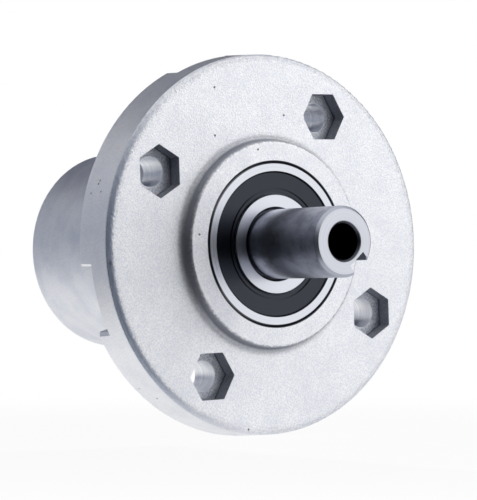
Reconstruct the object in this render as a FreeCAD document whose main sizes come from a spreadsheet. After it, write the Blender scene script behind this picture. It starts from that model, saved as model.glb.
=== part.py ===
# Blade spindle of a ride-on mower: a cast flanged bearing housing that bolts to the deck from below,
# with a keyed shaft turning in two sealed deep-groove ball bearings.
# Millimetres. The spindle axis is Y: the blade end points to -Y and the pulley end to +Y, with +Z up.
# The origin is on the spindle axis in the plane of the flange's seat face, which lies on the deck.
import FreeCAD, Part
import os
import re

import Sketcher

doc = FreeCAD.newDocument("BladeSpindle")
sheet = doc.addObject("Spreadsheet::Sheet", "Sizes")

sizes = {
    # The bearings are of the common size for a 20 mm shaft.
    "bearing_bore": 20.0,  # bearing bore diameter
    "bearing_outside": 47.0,  # bearing outside diameter
    "bearing_width": 14.0,  # bearing width
    "ring_corner": 0.65,  # bearing ring corner chamfer
    "ball_diameter": 7.938,  # ball diameter
    "race_play": 0.03,  # gap between ball and race
    "race_conformity": 1.04,  # race groove radius over ball radius
    "ball_count": 8,  # balls in each bearing
    "inner_ring_wall": 3.95,  # inner ring wall beside the ball track
    "outer_ring_wall": 4.0,  # outer ring wall beside the ball track
    "seal_mouth_wall": 2.75,  # outer ring wall round the seal
    "seal_groove_depth": 0.5,  # seal groove depth below the mouth
    "seal_mouth_lip": 0.9,  # width of the lip outside the seal groove
    "seal_groove_width": 1.1,  # seal groove width
    "seal_play": 0.03,  # gap of a seal bead in its groove
    "seal_recess": 0.45,  # seal face below the ring faces
    "seal_thickness": 1.1,  # seal thickness
    "seal_edge_width": 0.45,  # radial width of the seal's sloping outer edge
    "seal_lip_play": 0.1,  # gap of the sealing lip off the inner ring
    "seal_lip_width": 1.35,  # radial width of the sealing lip
    "seal_waist_width": 0.5,  # radial width of the bending groove beside the lip
    "seal_waist_depth": 0.45,  # depth of the bending groove
    "insert_thickness": 0.4,  # steel insert thickness
    "insert_margin": 0.7,  # rubber left round the insert
    "cage_play": 0.15,  # gap between ball and cage pocket
    "cage_side_gap": 0.38,  # gap between the cage's back and the seal
    "cage_horn": 1.2,  # cage horns past the ball centres
    "cage_width": 3.4,  # radial width of the cage

    # The housing is one casting: a flange, a low boss round the blade-side bearing and a plain round neck.
    "flange_thickness": 14.8,  # flange thickness at the seat
    "flange_diameter": 109.9,  # rim diameter at the back
    "rim_draft": 0.85,  # the front's radius is smaller by this casting draft
    "seat_bevel": 1.5,  # bevel of the rim's back edge
    "rim_round": 1.2,  # rounding of the rim's front edge
    "boss_height": 3.6,  # boss height over the front face
    "boss_wall": 5.8,  # boss wall round the bearing, at its face
    "boss_draft": 0.5,  # the boss is wider at its foot
    "boss_edge_round": 0.8,  # rounding of the boss's edge
    "boss_foot_round": 1.0,  # fillet at the boss's foot
    "bore_chamfer": 0.24,  # chamfer at the blade-side bore mouth
    "shoulder_step": 2.9,  # height of the bearing shoulders in the bore
    "neck_length": 67.4,  # neck length behind the seat face
    "neck_wall": 6.4,  # neck wall round the bearing, at its end
    "neck_draft": 0.35,  # the neck is wider at the flange
    "neck_root_round": 1.2,  # fillet at the neck's root
    "neck_end_round": 1.5,  # rounding of the neck's end edge
    "neck_mouth_chamfer": 0.8,  # chamfer at the pulley-side bore mouth
    "bolt_circle_radius": 42.1,  # bolt circle radius
    "bolt_angle": 62.3,  # angle of the first bolt from +X towards +Z
    "bolt_count": 4,  # number of deck bolts and of rim channels
    "bolt_hole_radius": 4.25,  # bolt hole radius
    "hex_across_flats": 13.1,  # hexagon pocket across its flats
    "hex_depth": 5.0,  # hexagon pocket depth
    "hex_corner_round": 0.4,  # rounding in the pocket's corners
    "channel_width": 19.0,  # width of the channels between the seat pads
    "channel_depth": 6.4,  # channel depth in the seat face
    "channel_start": 6.7,  # the channels start this far outside the neck's root
    "channel_flare": 1.2,  # the pads' corners are broken by this at the rim

    # The retaining ring sits in a groove of the neck and keeps the pulley-side bearing in.
    "snap_thickness": 1.75,  # retaining ring thickness
    "snap_groove_play": 0.1,  # width of its groove over the ring
    "snap_groove_depth": 1.25,  # depth of its groove
    "snap_play": 0.05,  # gap at the ring's rim in its groove
    "snap_back_width": 4.1,  # ring width opposite its gap
    "snap_horn_width": 2.4,  # ring width beside its gap
    "snap_gap": 9.0,  # gap between the ring's ends
    "snap_eye_radius": 1.25,  # plier hole radius
    "snap_eye_wall": 1.3,  # metal round a plier hole
    "snap_end_wall": 0.9,  # metal between a plier hole and the ring's end
    "snap_lip": 2.4,  # neck left outside the groove

    # The shaft is a little slimmer outside the bearings, with a keyway and a tapped hole in each end.
    "blade_relief": 0.15,  # the blade end's radius is smaller by this than the bearing seats
    "pulley_relief": 0.475,  # the pulley end's radius is smaller by this
    "undercut_width": 2.0,  # groove that parts the blade end from the ground bearing seat
    "undercut_depth": 0.55,  # depth of that groove below the blade end
    "blade_end_length": 31.2,  # shaft length past the blade-side bearing
    "pulley_end_length": 25.0,  # shaft length past the neck's end
    "end_chamfer": 0.9,  # chamfer of the shaft ends
    "tap_diameter": 10.2,  # tapped hole diameter
    "tap_depth": 32.0,  # tapped hole depth
    "tap_mouth": 0.7,  # countersink of the tapped holes
    "tap_cone": 3.0,  # depth of the drill point below the tapped holes
    "key_width": 6.0,  # keyway width
    "key_depth": 3.5,  # keyway depth
    "blade_key_length": 24.0,  # blade keyway length
    "pulley_key_length": 20.0,  # pulley keyway length
    "key_angle": -48.0,  # angle of the blade keyway from +X towards +Z
    "sleeve_bore_play": 0.05,  # radial gap of the spacer sleeve on the shaft
    "sleeve_wall": 2.6,  # spacer sleeve wall
    "sleeve_chamfer": 0.3,  # spacer sleeve end chamfer
}
for row, (alias, value) in enumerate(sizes.items(), 1):
    sheet.set(f"A{row}", alias)
    sheet.set(f"B{row}", str(value))
    sheet.setAlias(f"B{row}", alias)
doc.recompute()


def named(expression):
    """Puts the sheet's name before each size named in an expression, so that it can drive a property."""
    return re.sub(r"[a-z_]+", lambda word: "Sizes." * (word[0] in sizes) + word[0], expression)


def worth(expression):
    """The present value of an expression in millimetres or degrees."""
    return float(sheet.evalExpression(named(expression)))


def drive(target, path, expression):
    target.setExpression(path, named(expression))


def origin_item(body, role):
    return [item for item in body.Origin.OriginFeatures if item.Role == role][0]


def new_body(name, along="0"):
    """A body named for its node and set along the spindle axis by an expression."""
    body = doc.addObject("PartDesign::Body", name)
    body.Label = name
    drive(body, "Placement.Base.y", along)
    doc.recompute()
    return body


def new_sketch(body, name, plane="XY_Plane", lift="0", turn=None):
    """A sketch on one of the body's own planes, lifted off it and turned about the plane's normal."""
    sketch = body.newObject("Sketcher::SketchObject", name)
    sketch.AttachmentSupport = [(origin_item(body, plane), "")]
    sketch.MapMode = "FlatFace"
    drive(sketch, "AttachmentOffset.Base.z", lift)
    if turn is not None:
        normal = FreeCAD.Vector(0, 0, 1)
        sketch.AttachmentOffset = FreeCAD.Placement(FreeCAD.Vector(), FreeCAD.Rotation(normal, 1))
        drive(sketch, "AttachmentOffset.Rotation.Angle", turn)
    return sketch


def pin_point(sketch, geometry, end, across, along):
    """Fixes one point of a sketch at driven distances from the sketch's origin."""
    for kind, expression in (("DistanceX", across), ("DistanceY", along)):
        index = sketch.addConstraint(Sketcher.Constraint(kind, -1, 1, geometry, end, worth(expression)))
        drive(sketch, f"Constraints[{index}]", expression)


def draw_outline(sketch, corners):
    """Draws a closed outline of straight lines through driven corners."""
    spots = [FreeCAD.Vector(worth(across), worth(along), 0) for across, along in corners]
    first = sketch.GeometryCount
    count = len(corners)
    for step in range(count):
        sketch.addGeometry(Part.LineSegment(spots[step], spots[(step + 1) % count]), False)
    for step in range(count):
        following = first + (step + 1) % count
        sketch.addConstraint(Sketcher.Constraint("Coincident", first + step, 2, following, 1))
    for step, (across, along) in enumerate(corners):
        pin_point(sketch, first + step, 1, across, along)


def draw_circle(sketch, across, along, radius):
    """Draws a driven circle."""
    centre = FreeCAD.Vector(worth(across), worth(along), 0)
    index = sketch.addGeometry(Part.Circle(centre, FreeCAD.Vector(0, 0, 1), worth(radius)), False)
    pin_point(sketch, index, 3, across, along)
    size = sketch.addConstraint(Sketcher.Constraint("Radius", index, worth(radius)))
    drive(sketch, f"Constraints[{size}]", radius)


def turn_profile(body, name, corners):
    """Revolves a half section, given as radius and position along the axis, about the spindle axis."""
    sketch = new_sketch(body, name + "_section")
    draw_outline(sketch, corners)
    ring = body.newObject("PartDesign::Revolution", name)
    ring.Profile = sketch
    ring.ReferenceAxis = (sketch, ["V_Axis"])
    ring.Angle = 360
    doc.recompute()
    return ring


def cut_pocket(body, sketch, name, depth, reverse=False):
    """Cuts a sketch into the body and checks that it removed metal."""
    before = body.Shape.Volume
    pocket = body.newObject("PartDesign::Pocket", name)
    pocket.Profile = sketch
    pocket.Reversed = reverse
    drive(pocket, "Length", depth)
    doc.recompute()
    if not body.Shape.Volume < before:
        raise RuntimeError(name + " cuts nothing")
    return pocket


def ring_edges(shape, places):
    """Names the full circles about the spindle axis that have the given radii and positions."""
    found = []
    for radius, along in places:
        for number, edge in enumerate(shape.Edges, 1):
            curve = edge.Curve
            if not isinstance(curve, Part.Circle) or abs(curve.Radius - worth(radius)) > 1e-4:
                continue
            if abs(curve.Center.y - worth(along)) < 1e-4 and len(edge.Vertexes) == 1:
                found.append(f"Edge{number}")
    return found


def round_edges(body, base, edges, name, radius):
    fillet = body.newObject("PartDesign::Fillet", name)
    fillet.Base = (base, edges)
    drive(fillet, "Radius", radius)
    doc.recompute()
    return fillet


def repeat_round(body, features, name, count):
    """Repeats features round the spindle axis."""
    pattern = body.newObject("PartDesign::PolarPattern", name)
    pattern.Originals = features
    pattern.Axis = (origin_item(body, "Y_Axis"), [""])
    pattern.Angle = 360
    drive(pattern, "Occurrences", count)
    body.Tip = pattern
    doc.recompute()
    return pattern


# Places along the spindle axis that more than one piece shares.
front_face = "-1 * flange_thickness"
boss_face = "-1 * flange_thickness - boss_height"
front_bearing_end = "-1 * flange_thickness - boss_height + bearing_width"
snap_groove_start = "neck_length - snap_lip - snap_thickness - snap_groove_play"
rear_bearing_start = snap_groove_start + " - bearing_width"
front_bearing_middle = "-1 * flange_thickness - boss_height + bearing_width / 2"
rear_bearing_middle = snap_groove_start + " - bearing_width / 2"
blade_end = "-1 * flange_thickness - boss_height - blade_end_length"
pulley_end = "neck_length + pulley_end_length"

# Radii that more than one feature shares.
bore = "bearing_outside / 2"
rim_back = "flange_diameter / 2"
rim_front = "flange_diameter / 2 - rim_draft"
boss_top = "bearing_outside / 2 + boss_wall"
boss_foot = "bearing_outside / 2 + boss_wall + boss_draft"
shoulder = "bearing_outside / 2 - shoulder_step"
neck_end = "bearing_outside / 2 + neck_wall"
neck_root = "bearing_outside / 2 + neck_wall + neck_draft"
blade_journal = "( bearing_bore / 2 - blade_relief )"
pulley_journal = "( bearing_bore / 2 - pulley_relief )"
inner_land = "bearing_bore / 2 + inner_ring_wall"
seal_mouth = "bearing_outside / 2 - seal_mouth_wall"


# HOUSING: an aluminium casting, machined in the two bearing bores, the bolt holes and the seat face.
housing = new_body("housing")
casting = turn_profile(housing, "casting", [
    (bore + " + bore_chamfer", boss_face),
    (boss_top, boss_face),
    (boss_foot, front_face),
    (rim_front, front_face),
    (rim_back, "-1 * seat_bevel"),
    (rim_back + " - seat_bevel", "0"),
    (neck_root, "0"),
    (neck_end, "neck_length"),
    (bore + " + neck_mouth_chamfer", "neck_length"),
    (bore, "neck_length - neck_mouth_chamfer"),
    (bore, "neck_length - snap_lip"),
    (bore + " + snap_groove_depth", "neck_length - snap_lip"),
    (bore + " + snap_groove_depth", snap_groove_start),
    (bore, snap_groove_start),
    (bore, rear_bearing_start),
    (shoulder, rear_bearing_start),
    (shoulder, front_bearing_end),
    (bore, front_bearing_end),
    (bore, boss_face + " + bore_chamfer"),
])

# The edges left as cast are all a little round.
edges = ring_edges(casting.Shape, [(boss_top, boss_face)])
boss_rounded = round_edges(housing, casting, edges, "boss_edge", "boss_edge_round")
edges = ring_edges(boss_rounded.Shape, [(boss_foot, front_face)])
foot_filled = round_edges(housing, boss_rounded, edges, "boss_foot", "boss_foot_round")
edges = ring_edges(foot_filled.Shape, [(rim_front, front_face)])
rim_rounded = round_edges(housing, foot_filled, edges, "rim_edge", "rim_round")
edges = ring_edges(rim_rounded.Shape, [(neck_root, "0")])
neck_filled = round_edges(housing, rim_rounded, edges, "neck_root", "neck_root_round")
edges = ring_edges(neck_filled.Shape, [(neck_end, "neck_length")])
round_edges(housing, neck_filled, edges, "neck_edge", "neck_end_round")

# Radial channels part the seat face into one pad round each bolt, and show as notches in the rim.
channel_sketch = new_sketch(housing, "channel_outline", "XZ_Plane", "0", "bolt_angle + 180 / bolt_count")
flare_start = f"( sqrt( ( {rim_back} ) ^ 2 - ( channel_width / 2 ) ^ 2 ) - channel_flare )"
channel_half = []
for side in ("1", "-1"):
    channel_half.append([
        (neck_root + " + channel_start", f"{side} * channel_width / 2"),
        (flare_start, f"{side} * channel_width / 2"),
        (flare_start + " + channel_width", f"{side} * channel_width * 3 / 2"),
    ])
draw_outline(channel_sketch, channel_half[0] + channel_half[1][::-1])
channel = cut_pocket(housing, channel_sketch, "channel", "channel_depth", True)
repeat_round(housing, [channel], "channels", "bolt_count")

# Each deck bolt's head sits in a hexagon pocket that keeps it from turning, one corner pointing outwards.
hex_sketch = new_sketch(housing, "hex_outline", "XZ_Plane", "flange_thickness", "bolt_angle")
draw_outline(hex_sketch, [
    (f"bolt_circle_radius + hex_across_flats / sqrt(3) * cos({60 * corner} deg)",
     f"hex_across_flats / sqrt(3) * sin({60 * corner} deg)")
    for corner in range(6)
])
hex_pocket = cut_pocket(housing, hex_sketch, "hex_pocket", "hex_depth")
hole_sketch = new_sketch(housing, "bolt_hole_outline", "XZ_Plane", "flange_thickness", "bolt_angle")
draw_circle(hole_sketch, "bolt_circle_radius", "0", "bolt_hole_radius")
bolt_hole = cut_pocket(housing, hole_sketch, "bolt_hole", "flange_thickness")
bolt_places = repeat_round(housing, [hex_pocket, bolt_hole], "bolt_places", "bolt_count")
corners = []
for number, edge in enumerate(bolt_places.Shape.Edges, 1):
    level = min(corner.Y for corner in edge.Vertexes)
    upright = isinstance(edge.Curve, Part.Line) and abs(edge.Curve.Direction.y) > 1 - 1e-6
    if upright and abs(level - worth(front_face)) < 1e-4 and abs(edge.Length - worth("hex_depth")) < 1e-4:
        corners.append(f"Edge{number}")
round_edges(housing, bolt_places, corners, "hex_corners", "hex_corner_round")


# SHAFT: turned steel, ground where the bearings sit, drilled and tapped in both ends.
shaft = new_body("spindle_shaft")
bar = turn_profile(shaft, "bar", [
    ("0", blade_end + " + tap_depth + tap_cone"),
    ("tap_diameter / 2", blade_end + " + tap_depth"),
    ("tap_diameter / 2", blade_end + " + tap_mouth"),
    ("tap_diameter / 2 + tap_mouth", blade_end),
    (blade_journal + " - end_chamfer", blade_end),
    (blade_journal, blade_end + " + end_chamfer"),
    (blade_journal, boss_face),
    (blade_journal + " - undercut_depth", boss_face),
    (blade_journal + " - undercut_depth", boss_face + " + undercut_width"),
    ("bearing_bore / 2", boss_face + " + undercut_width"),
    ("bearing_bore / 2", snap_groove_start),
    (pulley_journal, snap_groove_start),
    (pulley_journal, pulley_end + " - end_chamfer"),
    (pulley_journal + " - end_chamfer", pulley_end),
    ("tap_diameter / 2 + tap_mouth", pulley_end),
    ("tap_diameter / 2", pulley_end + " - tap_mouth"),
    ("tap_diameter / 2", pulley_end + " - tap_depth"),
    ("0", pulley_end + " - tap_depth - tap_cone"),
])


def cut_keyway(name, journal, angle, open_end, closed_end):
    """Mills a keyway with a half-round end into a journal, its floor square to the given direction."""
    sketch = shaft.newObject("Sketcher::SketchObject", name + "_outline")
    sketch.AttachmentSupport = [(origin_item(shaft, "XY_Plane"), "")]
    sketch.MapMode = "FlatFace"
    axis = FreeCAD.Vector(0, 1, 0)
    sketch.AttachmentOffset = FreeCAD.Placement(FreeCAD.Vector(), FreeCAD.Rotation(axis, 1))
    drive(sketch, "AttachmentOffset.Rotation.Angle", f"90 - ( {angle} )")
    floor = f"( {journal} - key_depth )"
    drive(sketch, "AttachmentOffset.Base.x", f"{floor} * cos( ( {angle} ) * 1deg )")
    drive(sketch, "AttachmentOffset.Base.z", f"{floor} * sin( ( {angle} ) * 1deg )")
    left, right = "-1 * key_width / 2", "key_width / 2"
    corners = [(right, closed_end), (right, open_end), (left, open_end), (left, closed_end)]
    spots = [FreeCAD.Vector(worth(across), worth(along), 0) for across, along in corners]
    for step in range(3):
        sketch.addGeometry(Part.LineSegment(spots[step], spots[step + 1]), False)
    side = 1 if worth(closed_end) > worth(open_end) else -1
    crown = FreeCAD.Vector(0, worth(closed_end) + side * worth("key_width / 2"), 0)
    sketch.addGeometry(Part.Arc(spots[0], crown, spots[3]), False)
    for step in range(2):
        sketch.addConstraint(Sketcher.Constraint("Coincident", step, 2, step + 1, 1))
    arc_ends = (1, 2) if side > 0 else (2, 1)
    sketch.addConstraint(Sketcher.Constraint("Coincident", 3, arc_ends[0], 0, 1))
    sketch.addConstraint(Sketcher.Constraint("Coincident", 3, arc_ends[1], 2, 2))
    pin_point(sketch, 0, 1, *corners[0])
    pin_point(sketch, 1, 1, *corners[1])
    pin_point(sketch, 2, 1, *corners[2])
    pin_point(sketch, 2, 2, *corners[3])
    index = sketch.addConstraint(Sketcher.Constraint("DistanceY", -1, 1, 3, 3, worth(closed_end)))
    drive(sketch, f"Constraints[{index}]", closed_end)
    doc.recompute()
    return cut_pocket(shaft, sketch, name, "key_depth * 2", True)


# The pulley's keyway is half a turn from the blade's, which keeps the shaft in balance.
cut_keyway("blade_keyway", blade_journal, "key_angle", blade_end + " - key_width",
           blade_end + " + blade_key_length - key_width / 2")
cut_keyway("pulley_keyway", pulley_journal, "key_angle + 180", pulley_end + " + key_width",
           pulley_end + " - pulley_key_length + key_width / 2")


# SPACER SLEEVE: a steel tube on the shaft that keeps the two inner rings apart.
sleeve = new_body("spacer_sleeve")
sleeve_inside = "bearing_bore / 2 + sleeve_bore_play"
sleeve_outside = sleeve_inside + " + sleeve_wall"
turn_profile(sleeve, "tube", [
    (sleeve_inside, front_bearing_end),
    (sleeve_outside + " - sleeve_chamfer", front_bearing_end),
    (sleeve_outside, front_bearing_end + " + sleeve_chamfer"),
    (sleeve_outside, rear_bearing_start + " - sleeve_chamfer"),
    (sleeve_outside + " - sleeve_chamfer", rear_bearing_start),
    (sleeve_inside, rear_bearing_start),
])


# RETAINING RING: spring steel, open at the top, with an eye in each end for the pliers.
snap = new_body("rear_retaining_ring", snap_groove_start)
snap_rim = bore + " + snap_groove_depth - snap_play"
blank_sketch = new_sketch(snap, "blank_outline", "XZ_Plane")
draw_circle(blank_sketch, "0", "0", snap_rim)
draw_circle(blank_sketch, "0", "( snap_back_width - snap_horn_width ) / 2",
            f"{snap_rim} - ( snap_back_width + snap_horn_width ) / 2")
blank = snap.newObject("PartDesign::Pad", "blank")
blank.Profile = blank_sketch
blank.Reversed = True
drive(blank, "Length", "snap_thickness")
eye_across = "( snap_gap / 2 + snap_end_wall + snap_eye_radius )"
eye_along = f"sqrt( ( {snap_rim} - snap_horn_width ) ^ 2 - {eye_across} ^ 2 ) - snap_eye_radius / 2"
ear_sketch = new_sketch(snap, "ear_outline", "XZ_Plane")
draw_circle(ear_sketch, "-1 * " + eye_across, eye_along, "snap_eye_radius + snap_eye_wall")
draw_circle(ear_sketch, eye_across, eye_along, "snap_eye_radius + snap_eye_wall")
ears = snap.newObject("PartDesign::Pad", "ears")
ears.Profile = ear_sketch
ears.Reversed = True
drive(ears, "Length", "snap_thickness")
doc.recompute()
gap_sketch = new_sketch(snap, "gap_outline", "XZ_Plane")
draw_outline(gap_sketch, [
    ("-1 * snap_gap / 2", "0"),
    ("snap_gap / 2", "0"),
    ("snap_gap / 2", snap_rim + " + snap_gap"),
    ("-1 * snap_gap / 2", snap_rim + " + snap_gap"),
])
cut_pocket(snap, gap_sketch, "gap", "snap_thickness")
eye_sketch = new_sketch(snap, "eye_outline", "XZ_Plane")
draw_circle(eye_sketch, "-1 * " + eye_across, eye_along, "snap_eye_radius")
draw_circle(eye_sketch, eye_across, eye_along, "snap_eye_radius")
cut_pocket(snap, eye_sketch, "eyes", "snap_thickness")


# BEARINGS: two alike, each with grooved rings, balls in a moulded crown cage and a lipped seal
# on each side. Every piece is drawn about the bearing's middle and then set along the axis.
half_width = "bearing_width / 2"
ball_radius = "ball_diameter / 2"
pitch_radius = "( bearing_bore + bearing_outside ) / 4"
groove_radius = "ball_diameter / 2 * race_conformity"
race_shift = "( ball_diameter / 2 * race_conformity - ball_diameter / 2 - race_play )"


def cut_race(body, centre_radius):
    """Grinds the ball track, a torus whose section is a little wider than the ball."""
    before = body.Shape.Volume
    race = body.newObject("PartDesign::SubtractiveTorus", "race")
    race.AttachmentSupport = [(origin_item(body, "XZ_Plane"), "")]
    race.MapMode = "FlatFace"
    drive(race, "Radius1", centre_radius)
    drive(race, "Radius2", groove_radius)
    doc.recompute()
    if not body.Shape.Volume < before:
        raise RuntimeError("race cuts nothing")


def make_rings(prefix, middle):
    """Both rings, each grooved for the balls and the outer one also for the beads of the seals."""
    outer = new_body(prefix + "_outer_ring", middle)
    mouth_end = half_width + " - seal_mouth_lip"
    groove_end = half_width + " - seal_mouth_lip - seal_groove_width"
    side = [
        (bore + " - outer_ring_wall", groove_end),
        (seal_mouth + " + seal_groove_depth", groove_end),
        (seal_mouth + " + seal_groove_depth", mouth_end),
        (seal_mouth, mouth_end),
        (seal_mouth, half_width),
        (bore + " - ring_corner", half_width),
        (bore, half_width + " - ring_corner"),
    ]
    far_side = [(radius, f"-1 * ( {along} )") for radius, along in reversed(side)]
    turn_profile(outer, "blank", side + far_side)
    cut_race(outer, f"{pitch_radius} - {race_shift}")

    inner = new_body(prefix + "_inner_ring", middle)
    turn_profile(inner, "blank", [
        ("bearing_bore / 2", f"-1 * ( {half_width} ) + ring_corner"),
        ("bearing_bore / 2 + ring_corner", f"-1 * ( {half_width} )"),
        (inner_land, f"-1 * ( {half_width} )"),
        (inner_land, half_width),
        ("bearing_bore / 2 + ring_corner", half_width),
        ("bearing_bore / 2", half_width + " - ring_corner"),
    ])
    cut_race(inner, f"{pitch_radius} + {race_shift}")


def make_seal(name, middle, side):
    """A rubber disc with a bead in the outer ring under a sloping edge, a bending groove and a lip at the
    inner ring, and the steel washer that stiffens it. side is +1 or -1 along the spindle axis."""
    outside = half_width + " - seal_recess"
    inside = half_width + " - seal_recess - seal_thickness"
    bead = seal_mouth + " + seal_groove_depth - seal_play"
    bead_top = half_width + " - seal_mouth_lip - seal_play"
    lip_foot = inner_land + " + seal_lip_play"
    lip_top = lip_foot + " + seal_lip_width"
    insert_start = lip_top + " + seal_waist_width + insert_margin"
    insert_end = seal_mouth + " - insert_margin"
    outline = [
        (lip_foot, outside + " - seal_waist_depth"),
        (lip_foot + " + seal_lip_width / 2", outside),
        (lip_top, outside),
        (lip_top, outside + " - seal_waist_depth"),
        (lip_top + " + seal_waist_width", outside + " - seal_waist_depth"),
        (lip_top + " + seal_waist_width", outside),
        (seal_mouth + " - seal_play - seal_edge_width", outside),
        (seal_mouth + " - seal_play", bead_top),
        (bead, bead_top),
        (bead, inside),
        (insert_end, inside),
        (insert_end, inside + " + insert_thickness"),
        (insert_start, inside + " + insert_thickness"),
        (insert_start, inside),
        (lip_foot, inside),
    ]
    washer = [
        (insert_start, inside),
        (insert_end, inside),
        (insert_end, inside + " + insert_thickness"),
        (insert_start, inside + " + insert_thickness"),
    ]
    for piece, corners in ((name, outline), (name + "_insert", washer)):
        body = new_body(piece, middle)
        turn_profile(body, "disc", [(radius, f"{side} * ( {along} )") for radius, along in corners])


def make_cage(name, middle):
    """A crown cage: a ring with a web behind the balls and round pockets open to the other side."""
    body = new_body(name, middle)
    web = f"-1 * ( {half_width} - seal_recess - seal_thickness - cage_side_gap )"
    turn_profile(body, "crown", [
        (f"{pitch_radius} - cage_width / 2", web),
        (f"{pitch_radius} + cage_width / 2", web),
        (f"{pitch_radius} + cage_width / 2", "cage_horn"),
        (f"{pitch_radius} - cage_width / 2", "cage_horn"),
    ])
    before = body.Shape.Volume
    pocket = body.newObject("PartDesign::SubtractiveSphere", "pocket")
    pocket.AttachmentSupport = [(origin_item(body, "XZ_Plane"), "")]
    pocket.MapMode = "FlatFace"
    drive(pocket, "AttachmentOffset.Base.x", pitch_radius)
    drive(pocket, "Radius", "ball_diameter / 2 + cage_play")
    doc.recompute()
    if not body.Shape.Volume < before:
        raise RuntimeError("cage pocket cuts nothing")
    repeat_round(body, [pocket], "pockets", "ball_count")


balls = []


def make_balls(prefix, middle):
    """The steel balls on their pitch circle."""
    for number in range(round(worth("ball_count"))):
        ball = doc.addObject("Part::Sphere", f"{prefix}_ball_{number + 1}")
        ball.Label = f"{prefix}_ball_{number + 1}"
        drive(ball, "Radius", ball_radius)
        turn = f"{number} * 360 / ball_count"
        drive(ball, "Placement.Base.x", f"{pitch_radius} * cos( {turn} * 1deg )")
        drive(ball, "Placement.Base.z", f"{pitch_radius} * sin( {turn} * 1deg )")
        drive(ball, "Placement.Base.y", middle)
        balls.append(ball)


for prefix, middle, outward in (("front", front_bearing_middle, -1), ("rear", rear_bearing_middle, 1)):
    make_rings(prefix, middle)
    make_cage(prefix + "_cage", middle)
    make_balls(prefix, middle)
    make_seal(prefix + "_outer_seal", middle, outward)
    make_seal(prefix + "_inner_seal", middle, -outward)
doc.recompute()


# Every object must have worked and every piece must be one sound solid before anything is written.
for item in doc.Objects:
    if "Invalid" in item.State or "Error" in item.State:
        raise RuntimeError(f"{item.Name} failed: {item.State}")
pieces = [item for item in doc.Objects if item.TypeId == "PartDesign::Body"] + balls
os.makedirs("parts", exist_ok=True)
for piece in pieces:
    shape = piece.Shape
    if shape.isNull() or not shape.isValid() or len(shape.Solids) != 1:
        raise RuntimeError(f"{piece.Label} is not one sound solid")
for piece in pieces:
    piece.Shape.exportStep(f"parts/{piece.Label}.step")
    box = piece.Shape.BoundBox
    print(f"{piece.Label}: {piece.Shape.Volume:.1f} mm3, y {box.YMin:.2f} to {box.YMax:.2f}")
print(len(pieces), "pieces")
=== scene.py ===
# The blade spindle of a ride-on mower: a cast bearing housing and the shaft that turns in it.
# Metres, in the frame of the CAD model: the spindle axis is Y, the blade end points to -Y and +Z is up.
import math
from functools import cached_property

import bpy
import numpy as np
from mathutils import Matrix, Vector


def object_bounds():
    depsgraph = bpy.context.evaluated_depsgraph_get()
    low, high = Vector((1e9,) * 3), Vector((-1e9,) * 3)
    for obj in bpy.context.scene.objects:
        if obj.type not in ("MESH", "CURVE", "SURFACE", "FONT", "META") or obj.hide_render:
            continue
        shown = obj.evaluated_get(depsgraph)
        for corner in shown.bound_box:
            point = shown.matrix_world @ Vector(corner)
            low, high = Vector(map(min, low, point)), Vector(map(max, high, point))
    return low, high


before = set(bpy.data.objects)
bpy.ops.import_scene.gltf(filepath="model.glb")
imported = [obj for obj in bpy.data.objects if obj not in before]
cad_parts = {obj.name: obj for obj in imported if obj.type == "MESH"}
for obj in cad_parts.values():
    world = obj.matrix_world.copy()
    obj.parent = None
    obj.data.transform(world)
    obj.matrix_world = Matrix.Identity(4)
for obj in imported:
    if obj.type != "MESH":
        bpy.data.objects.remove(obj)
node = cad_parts
cad_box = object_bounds()


# VIEWPOINT: the blade end is seen from its left, about level with the axis, through a long lens from
# 0.7 m off, as in the photograph.
eye_right = Vector((0.813624, -0.581391, 0.0))
eye_back = Vector((-0.581205, -0.813364, -0.025304))
eye_up = eye_back.cross(eye_right)
lens = bpy.data.cameras.new("viewpoint")
lens.sensor_fit = "VERTICAL"
lens.sensor_height = 36.0
lens.lens = 170.15
lens.clip_start = 0.05
lens.clip_end = 60.0
viewpoint = bpy.data.objects.new("viewpoint", lens)
viewpoint.matrix_world = Matrix.Translation((-0.39790, -0.55670, -0.01863)) @ Matrix(
    (eye_right, eye_up, eye_back)).transposed().to_4x4()
bpy.context.scene.collection.objects.link(viewpoint)
bpy.context.scene.camera = viewpoint


# HOUSING: a die-cast aluminium flange, boss and neck in one, shot-blasted to a fine even grain, then
# machined bright in the bearing bores and the bolt holes, on the seat pads and at the neck's end.
class Value:
    """A socket's output in a finish; sums, products and the like of values add their Math nodes."""

    def __init__(self, finish, socket):
        self.finish = finish
        self.socket = socket

    def reckon(self, operation, first, second=None):
        inputs = {0: first} if second is None else {0: first, 1: second}
        return self.finish.add("ShaderNodeMath", {"operation": operation}, inputs)

    def __add__(self, other):
        return self.reckon("ADD", self, other)

    def __radd__(self, other):
        return self.reckon("ADD", other, self)

    def __sub__(self, other):
        return self.reckon("SUBTRACT", self, other)

    def __rsub__(self, other):
        return self.reckon("SUBTRACT", other, self)

    def __mul__(self, other):
        return self.reckon("MULTIPLY", self, other)

    def __rmul__(self, other):
        return self.reckon("MULTIPLY", other, self)

    def __pow__(self, other):
        return self.reckon("POWER", self, other)

    def __abs__(self):
        return self.reckon("ABSOLUTE", self)

    def most(self, other):
        return self.reckon("MAXIMUM", self, other)

    def least(self, other):
        return self.reckon("MINIMUM", self, other)


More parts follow.
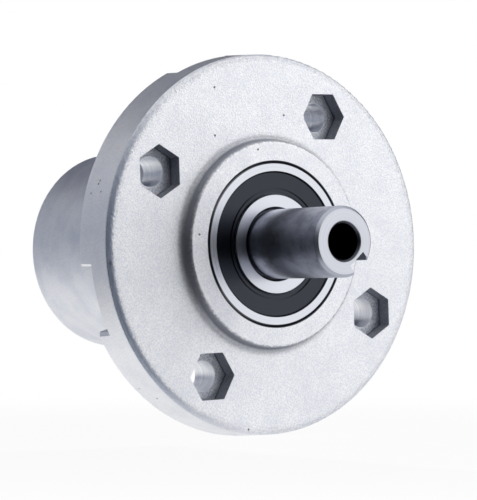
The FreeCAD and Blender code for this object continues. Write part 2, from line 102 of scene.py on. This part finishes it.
class Finish:
    """A finish worked out in nodes from the place on the object, in metres."""

    def __init__(self, name, kind=bpy.data.materials):
        self.material = kind.new(name)
        self.material.use_nodes = True
        self.tree = self.material.node_tree
        self.tree.nodes.clear()

    @cached_property
    def place(self):
        return self.add("ShaderNodeTexCoord", {}, {}, "Object")

    def add(self, kind, settings, inputs, take=0):
        """Adds one node with its settings and inputs and gives the value of the output it takes."""
        made = self.tree.nodes.new(kind)
        for name, setting in settings.items():
            setattr(made, name, setting)
        for name, value in inputs.items():
            if isinstance(value, Value):
                self.tree.links.new(value.socket, made.inputs[name])
            else:
                made.inputs[name].default_value = value
        return Value(self, made.outputs[take])

    def fade(self, value, start, end):
        """0 below start and 1 past end, with a smooth step between."""
        return self.add("ShaderNodeMapRange", {"interpolation_type": "SMOOTHSTEP"},
                        {"Value": value, "From Min": start, "From Max": end})

    def under(self, value, full, end):
        """1 up to full and 0 past end."""
        return 1.0 - self.fade(value, full, end)

    def band(self, value, start, full, wane, end):
        """1 from full to wane, and 0 below start and past end."""
        return self.fade(value, start, full) * self.under(value, wane, end)

    def grain(self, scale, detail=2.0, roughness=0.5, place=None):
        """Noise with its features 1 / scale metres apart."""
        return self.add("ShaderNodeTexNoise", {}, {"Vector": place or self.place, "Scale": scale,
                        "Detail": detail, "Roughness": roughness}, "Fac")

    def tint(self, share, plain, other):
        """The plain colour, turned by its share into the other."""
        return self.add("ShaderNodeMix", {"data_type": "RGBA"}, {0: share, 6: plain, 7: other}, 2)

    def split(self, place, axis):
        """One coordinate of a place."""
        return self.add("ShaderNodeSeparateXYZ", {}, {0: place}, axis)

    def span(self, place):
        """The length of a vector."""
        return self.add("ShaderNodeVectorMath", {"operation": "LENGTH"}, {0: place}, "Value")

    def along(self):
        """The place along the spindle axis."""
        return self.split(self.place, "Y")

    def out(self):
        """The distance from the spindle axis."""
        level = self.add("ShaderNodeVectorMath", {"operation": "MULTIPLY"}, {0: self.place, 1: (1, 0, 1)})
        return self.span(level)

    def rings(self, out, along, scale):
        """Fine rings about an axis: noise read at (distance out, place along), so the same all round."""
        return self.grain(scale, 3.0, 0.7, self.add("ShaderNodeCombineXYZ", {}, {"X": out, "Y": along}))

    def relief(self, height, depth):
        """The surface's direction where a height of 1 stands for so many metres."""
        inputs = {"Height": height, "Strength": 1.0, "Distance": depth}
        return self.add("ShaderNodeBump", {}, inputs, "Normal")

    def close(self, shader, kind="ShaderNodeOutputMaterial"):
        """Joins the shader to the tree's end and gives the material."""
        end = self.tree.nodes.new(kind)
        self.tree.links.new(shader.socket, end.inputs["Surface"])
        return self.material

    def done(self, **sockets):
        """Closes the finish with one shader; its sockets are named with _ for a space."""
        inputs = {name.replace("_", " "): value for name, value in sockets.items()}
        return self.close(self.add("ShaderNodeBsdfPrincipled", {}, inputs, "BSDF"))


def lay(material, *names):
    """Gives CAD pieces their finish."""
    for name in names:
        mesh = node[name].data
        mesh.materials.clear()
        mesh.materials.append(material)


# Where the casting's faces lie along the axis, with the seat face at 0, and the sizes of its round parts.
flange_front, boss_front, neck_end = -0.0148, -0.0184, 0.0674
pocket_bottom = -0.0098
bearing_radius = 0.0235
bolt_circle_radius, bolt_hole_radius, pocket_radius = 0.0421, 0.00425, 0.0077

cast = Finish("blasted_cast_aluminium")
out, along = cast.out(), cast.along()
sides = cast.fade(along, flange_front + 0.0009, flange_front + 0.0020)
neck_in_shade = cast.fade(along, -0.0002, 0.0015)

# The grain's noise is read askew, so that its own straight rows don't show.
askew = cast.add("ShaderNodeMapping", {}, {"Vector": cast.place, "Rotation": (0.5, 0.7, 0.3)})
grit = cast.grain(2200.0, 3.0, 0.75, askew)
cloud = cast.grain(120.0, 3.0, 0.6)
ragged = (cast.grain(1000.0, 3.0, 0.8) - 0.5) * 0.0036

# Four deck bolts: with the casting turned so that they lie on X and Z, a fold of the quarters onto one
# another gives the distance to the nearest.
turn = (0, math.radians(62.3), 0)
quarters = cast.add("ShaderNodeMapping", {}, {"Vector": cast.place, "Rotation": turn})
across, up = abs(cast.split(quarters, "X")), abs(cast.split(quarters, "Z"))
past = across.most(up) - bolt_circle_radius
beside = across.least(up)
to_bolt = (past * past + beside * beside) ** 0.5

# Painted shade darkens the corners: the pockets' walls, most of all at their root, the boss's foot and the
# mouth of the bore.
pocket = (cast.under(to_bolt, pocket_radius, pocket_radius + 0.0004)
          * cast.band(along, flange_front + 0.00002, flange_front + 0.00035,
                      pocket_bottom + 0.0001, pocket_bottom + 0.0003))
pocket_wall_shade = pocket * cast.fade(to_bolt, 0.0060, 0.0066)
pocket_root_shade = cast.fade(along, pocket_bottom - 0.0014, pocket_bottom - 0.0002)
pocket_floor = cast.fade(along, pocket_bottom - 0.00010, pocket_bottom - 0.00002)
boss_foot_shade = (cast.band(out + ragged * 0.4, 0.0286, 0.0294, 0.0296, 0.0322)
        * cast.under(along, flange_front + 0.0002, flange_front + 0.0008))
bore_mouth_shade = (cast.under(out, bearing_radius + 0.00015, bearing_radius + 0.00035)
         * cast.under(along, boss_front + 0.0006, boss_front + 0.0014))
painted_corner_shade = pocket_wall_shade * (0.50 + pocket_root_shade * 0.32 - pocket_floor * 0.62) + boss_foot_shade * 0.66 + bore_mouth_shade * 0.95

# The flange's front edge is worn rounder than it was cast, and a band of painted shade darkens it, most
# towards -X.
worn = (cast.fade(out + ragged, 0.0516, 0.0545)
        * cast.under(along, flange_front + 0.0007, flange_front + 0.0012))
painted_edge_shade = (cast.band(out + ragged * 0.5, 0.0524, 0.0532, 0.0540, 0.0549)
        * cast.under(along, flange_front + 0.0008, flange_front + 0.0018))
toward_shade = {0: cast.place, 1: (-0.98, 0, -0.20)}
shade_side = cast.add("ShaderNodeVectorMath", {"operation": "DOT_PRODUCT"}, toward_shade, "Value")
painted_edge_shade = painted_edge_shade * (cast.fade(shade_side, 0.022, 0.054) * 0.9 + 0.06)

# Gas holes, a pinhead across or less: on the flange's face, the boss and the rim.
holes = [(-0.0188, -0.0148, 0.0302), (0.0052, -0.0148, 0.0370), (-0.0072, -0.0148, -0.0524),
         (-0.0190, -0.0148, 0.0437), (-0.0065, -0.0184, 0.0266), (-0.0265, -0.0184, 0.0022),
         (-0.0519, -0.0071, 0.0169), (-0.0522, -0.0068, 0.0160), (-0.0525, -0.0009, 0.0152),
         (-0.0527, -0.0006, 0.0143), (-0.0529, -0.0043, 0.0134), (-0.0528, -0.0088, 0.0138),
         (-0.0332, -0.0073, -0.0433), (-0.0367, -0.0037, -0.0404)]
pore = 0.0
for hole in holes:
    from_hole = cast.add("ShaderNodeVectorMath", {"operation": "SUBTRACT"}, {0: cast.place, 1: hole})
    pore = cast.under(cast.span(from_hole) + grit * 0.0003, 0.00030, 0.00055) + pore

# Cut by the drill and the lathe: the bolt holes, and the neck's end, the seat pads and the bearing bores.
drilled = cast.under(to_bolt, bolt_hole_radius + 0.00005, bolt_hole_radius + 0.00020)
faced = cast.fade(along, neck_end - 0.00012, neck_end - 0.00004)
faced = faced.most(cast.under(abs(along), 0.00003, 0.00008))
faced = faced.most(cast.under(out, bearing_radius + 0.00006, bearing_radius + 0.00012))
cut = faced.most(drilled)
marks = cast.rings(to_bolt, along, 2400.0) * drilled + cast.rings(out, along, 2600.0) * (1.0 - drilled)

# The colour: the blasted skin, more speckled on the face than on the sides and greyer in the pockets and on
# the neck as painted shade, then the cut faces, the painted shade of the worn edge and of the corners, and
# the gas holes over it.
face_tone = cast.tint(cast.fade(grit, 0.36, 0.64), (0.77, 0.79, 0.875, 1), (0.978, 0.984, 1.0, 1))
side_tone = cast.tint(cast.fade(grit, 0.38, 0.62), (0.88, 0.90, 0.965, 1), (1.0, 1.0, 1.0, 1))
pocket_shade_tone = cast.tint(cast.fade(grit, 0.44, 0.58), (0.55, 0.60, 0.72, 1), (0.97, 0.98, 1.0, 1))
faced_tone = cast.tint(marks, (0.70, 0.72, 0.77, 1), (0.86, 0.88, 0.92, 1))
drilled_tone = cast.tint(cast.fade(marks, 0.36, 0.64), (0.74, 0.77, 0.84, 1), (1.0, 1.0, 1.0, 1))
tone = cast.tint(sides, face_tone, side_tone)
# Painted shade: the pockets are toned greyer.
tone = cast.tint(pocket * 0.7, tone, pocket_shade_tone)
# Painted shade on the neck behind the flange: it is toned darker, and the cloud's stains are stronger
# there.
tone = cast.tint(neck_in_shade * 0.23, tone, (0.55, 0.59, 0.69, 1))
tone = cast.tint(cast.fade(cloud, 0.35, 0.70) * (neck_in_shade * 0.25 + 0.22), tone, (0.64, 0.67, 0.76, 1))
tone = cast.tint(faced, tone, faced_tone)
tone = cast.tint(drilled, tone, drilled_tone)
tone = cast.tint(painted_edge_shade, tone, (0.32, 0.365, 0.47, 1))
tone = cast.tint(painted_corner_shade, tone, (0.05, 0.06, 0.09, 1))
tone = cast.tint(pore * 0.85, tone, (0.06, 0.065, 0.08, 1))

height = (grit + cloud * 0.8 - pore * 2.0 - worn * 2.2) * (1.0 - cut) + marks * cut
rough = (0.35 + grit * 0.16 + pocket * 0.25) * (1.0 - cut) + faced * 0.32 + drilled * 0.32
lay(cast.done(Base_Color=tone, Metallic=1.0, Roughness=rough, Normal=cast.relief(height, 0.00014)),
    "housing")


# BEARINGS: two alike, pressed into the housing's bores and onto the shaft's seats. The rings are hardened
# steel, ground bright on their faces, with polished balls in a moulded cage between them. Black rubber
# seals, moulded on steel washers, snap into the outer ring.
ground = Finish("ground_bearing_steel")
out = ground.out()
marks = ground.rings(out, ground.along(), 12000.0)

# The rings' corners, 0.65 mm wide at the outer's rim and at the inner's bore, are painted dark: painted
# shade in the gaps against the housing and the shaft.
corner = ground.fade(out, 0.02280, 0.02290) + ground.under(out, 0.01052, 0.01064)
tone = ground.tint(marks, (0.66, 0.68, 0.74, 1), (0.86, 0.88, 0.95, 1))
lay(ground.done(Base_Color=ground.tint(corner * 0.85, tone, (0.05, 0.052, 0.06, 1)), Metallic=1.0,
                Roughness=0.23 + marks * 0.12, Normal=ground.relief(marks, 0.000005)),
    "front_outer_ring", "front_inner_ring", "rear_outer_ring", "rear_inner_ring")

rubber = Finish("seal_rubber")
skin = rubber.grain(2400.0) + rubber.rings(rubber.out(), rubber.along(), 2200.0)
tone = rubber.tint(rubber.grain(160.0, 3.0), (0.001, 0.0012, 0.002, 1), (0.003, 0.0036, 0.006, 1))
lay(rubber.done(Base_Color=tone, Roughness=0.15 + rubber.grain(500.0) * 0.10, Specular_IOR_Level=0.74,
                Specular_Tint=(0.74, 0.82, 1.0, 1), Normal=rubber.relief(skin, 0.00003)),
    "front_outer_seal", "front_inner_seal", "rear_outer_seal", "rear_inner_seal")

polished = Finish("polished_ball_steel")
tone = polished.tint(polished.grain(400.0), (0.72, 0.73, 0.75, 1), (0.80, 0.81, 0.82, 1))
lay(polished.done(Base_Color=tone, Metallic=1.0, Roughness=0.08 + polished.grain(900.0) * 0.05),
    *[f"{end}_ball_{number}" for end in ("front", "rear") for number in range(1, 9)])

moulded = Finish("moulded_cage_polymer")
tone = moulded.tint(moulded.grain(700.0), (0.50, 0.44, 0.32, 1), (0.60, 0.54, 0.41, 1))
lay(moulded.done(Base_Color=tone, Roughness=0.45 + moulded.grain(1500.0) * 0.15),
    "front_cage", "rear_cage")

pressed = Finish("pressed_insert_steel")
tone = pressed.tint(pressed.grain(800.0), (0.40, 0.41, 0.43, 1), (0.55, 0.56, 0.58, 1))
lay(pressed.done(Base_Color=tone, Metallic=1.0, Roughness=0.35 + pressed.grain(1300.0) * 0.15),
    "front_outer_seal_insert", "front_inner_seal_insert",
    "rear_outer_seal_insert", "rear_inner_seal_insert")


# SHAFT AND SLEEVE: a shaft of bright steel bar, turned on a lathe that leaves fine rings, with a keyway in
# each end, and a plain cut tube over it that holds the two inner rings apart.
blade_end, pulley_end = -0.0496, 0.0924
bar_radius = 0.00985
turned = Finish("turned_shaft_steel")
out, along = turned.out(), turned.along()
marks = turned.rings(out, along, 3200.0)
stain = turned.grain(210.0, 4.0, 0.65)

# The end faces are brighter than the bar, and the blade end's chamfer is painted darker than its face, a
# painted shade.
faced = (turned.under(along, blade_end + 0.0007, blade_end + 0.0009)
         + turned.fade(along, pulley_end - 0.00015, pulley_end - 0.00005))
blade_half = turned.under(along, 0.0, 0.001)
bevel_shade = turned.fade(along, blade_end + 0.00004, blade_end + 0.00014) * faced * blade_half

# The blade keyway's walls are painted dark, a painted shade in the slot: they lie inside the bar's skin and
# inside the chamfer's cone.
inside_cone = along + 0.05845 - out
keyway_shade = (turned.fade(inside_cone, 0.0003, 0.0006)
          * turned.under(out, bar_radius - 0.00025, bar_radius - 0.00010)
          * turned.band(along, blade_end + 0.0001, blade_end + 0.0003, -0.019, -0.018))

darker = turned.fade(stain, 0.40, 0.70) * 0.6 + marks * 0.3
tone = turned.tint(darker, (0.35, 0.37, 0.45, 1), (0.15, 0.157, 0.195, 1))
faced_tone = turned.tint(marks, (0.60, 0.62, 0.68, 1), (0.76, 0.78, 0.85, 1))
tone = turned.tint(faced, tone, faced_tone)
tone = turned.tint(bevel_shade * 0.6, tone, (0.30, 0.33, 0.41, 1))
tone = turned.tint(keyway_shade * 0.9, tone, (0.03, 0.033, 0.045, 1))
lay(turned.done(Base_Color=tone, Metallic=1.0,
                Roughness=(0.24 + stain * 0.10) * (1.0 - faced) + faced * 0.42,
                Normal=turned.relief(marks, 0.00004)),
    "spindle_shaft")

drawn = Finish("cut_sleeve_steel")
marks = drawn.rings(drawn.out(), drawn.along(), 3000.0)
lay(drawn.done(Base_Color=drawn.tint(marks, (0.34, 0.35, 0.37, 1), (0.48, 0.49, 0.51, 1)),
               Metallic=1.0, Roughness=0.34 + marks * 0.15, Normal=drawn.relief(marks, 0.00001)),
    "spacer_sleeve")


# RETAINING RING: an internal ring stamped from spring steel and blackened, with an eye in each end for the
# pliers. It snaps into the groove in the neck's mouth and keeps the pulley-side bearing in.
spring = Finish("blackened_spring_steel")
tone = spring.tint(spring.grain(600.0), (0.030, 0.032, 0.036, 1), (0.060, 0.062, 0.068, 1))
lay(spring.done(Base_Color=tone, Metallic=0.8, Roughness=0.36 + spring.grain(1800.0) * 0.16,
                Normal=spring.relief(spring.grain(1800.0), 0.00001)),
    "rear_retaining_ring")


# ROOM: a white table that runs on without an edge, and a soft lamp to the right of the blade end. The
# metal shows what stands round it: black cloth on the table, beside the camera and to the right for the
# darkest parts, pale cloth to the left and beside the flange, and a slate card behind for the softer sides.
def in_sight(finish):
    """1 where the surface is looked at, straight or in metal or glass, and 0 where it only sheds light."""
    looked_at = [finish.add("ShaderNodeLightPath", {}, {}, f"Is {kind} Ray")
                 for kind in ("Camera", "Glossy", "Transmission")]
    return looked_at[0].most(looked_at[1]).most(looked_at[2])


def show(name, what, matrix):
    """Puts a lamp or a sheet in the room."""
    made = bpy.data.objects.new(name, what)
    made.matrix_world = matrix
    bpy.context.scene.collection.objects.link(made)
    return made


def flat(name, material, width, height):
    """A flat sheet about the origin, facing +Z."""
    made = bpy.data.meshes.new(name)
    corners = np.array([(-1, -1, 0), (1, -1, 0), (1, 1, 0), (-1, 1, 0)]) * (width / 2, height / 2, 0)
    made.from_pydata(corners.tolist(), [], [(0, 1, 2, 3)])
    made.materials.append(material)
    return made


def hang(name, what, spot):
    """Puts a lamp or a sheet at a spot, turned towards the object."""
    facing = Vector(spot).to_track_quat("Z", "Y").to_matrix().to_4x4()
    return show(name, what, Matrix.Translation(spot) @ facing)


def spread(name, material, width, depth, x, y, lift):
    """Lays a sheet about (x, y), lifted this far off the table."""
    spot = Matrix.Translation((x, y, cad_box[0].z + lift))
    return show(name, flat(name, material, width, depth), spot)


def curtain(name, material, start, end, high, near):
    """Cloth hung round the object as part of a cone, from the table at the radius near up to its upper
    edge, at the height high and 1.1 m out: the point at angle a, from -Y towards -X, radius r and height z
    is (-r sin a, -r cos a, z)."""
    strips, far = 24, 1.1
    angles = np.radians(np.linspace(start, end, strips + 1))
    turn, share = np.meshgrid(angles, [0.0, 1.0], indexing="ij")
    radius = near + (far - near) * share
    level = cad_box[0].z + (high - cad_box[0].z) * share
    points = np.stack([-radius * np.sin(turn), -radius * np.cos(turn), level], axis=-1).reshape(-1, 3)
    first = 2 * np.arange(strips)
    faces = np.stack([first, first + 1, first + 3, first + 2], axis=-1)
    made = bpy.data.meshes.new(name)
    made.from_pydata(points.tolist(), [], faces.tolist())
    made.materials.append(material)
    return show(name, made, Matrix())


# The table is white where it is looked at, and keeps a trace of the object's shadow close by.
table = Finish("white_table")
near = table.under(table.span(table.place), 0.08, 0.35)
matt = table.add("ShaderNodeBsdfDiffuse", {}, {"Color": (0.86, 0.86, 0.87, 1)}, "BSDF")
white = table.add("ShaderNodeEmission", {}, {"Color": (1, 1, 1, 1), "Strength": 1.0}, "Emission")
share = in_sight(table) * (1.0 - near * 0.05)
table.close(table.add("ShaderNodeMixShader", {}, {0: share, 1: matt, 2: white}, "Shader"))
table_top = spread("table_top", table.material, 24.0, 24.0, 0.0, 0.0, 0.0)

# The room is as white, and sheds less light than it shows.
shed = 0.42
room = Finish("white_room", bpy.data.worlds)
light = {"Color": (1, 1, 1, 1), "Strength": in_sight(room) * (1.0 - shed) + shed}
glow = room.add("ShaderNodeBackground", {}, light, "Background")
bpy.context.scene.world = room.close(glow, "ShaderNodeOutputWorld")

soft_lamp = bpy.data.lights.new("soft_lamp", "AREA")
soft_lamp.shape = "RECTANGLE"
soft_lamp.size, soft_lamp.size_y = 0.36, 0.46
soft_lamp.energy = 0.8
soft_lamp.color = (1.0, 0.975, 0.93)
hang("soft_lamp", soft_lamp, (0.38, -0.48, 0.44))

black_cloth = Finish("black_cloth").done(Base_Color=(0.030, 0.035, 0.06, 1), Roughness=1.0)
slate_cloth = Finish("slate_cloth").done(Base_Color=(0.07, 0.10, 0.22, 1), Roughness=1.0)
light_cloth = Finish("light_cloth").done(Base_Color=(0.93, 0.96, 1.0, 1), Roughness=1.0)
pale_cloth = Finish("pale_cloth").done(Base_Color=(0.70, 0.78, 1.0, 1), Roughness=1.0)
for cloth in (spread("cloth_on_table", black_cloth, 0.905, 0.87, -0.4975, -0.465, 0.001),
              spread("cloth_beside_flange", light_cloth, 0.13, 0.22, -0.17, 0.11, 0.001),
              curtain("cloth_beside_camera", black_cloth, -11.5, 98.0, 0.65, 1.0),
              curtain("cloth_to_the_left", pale_cloth, 98.0, 165.0, 0.45, 0.45),
              curtain("cloth_to_the_right", black_cloth, -150.0, -92.0, 0.7, 1.0),
              hang("card_behind", flat("card_behind", slate_cloth, 1.9, 1.2), (0.30, 0.80, 0.72))):
    cloth.visible_camera = False


# The whole is done: plain rendering of the colours.
bpy.context.scene.view_settings.view_transform = "Standard"
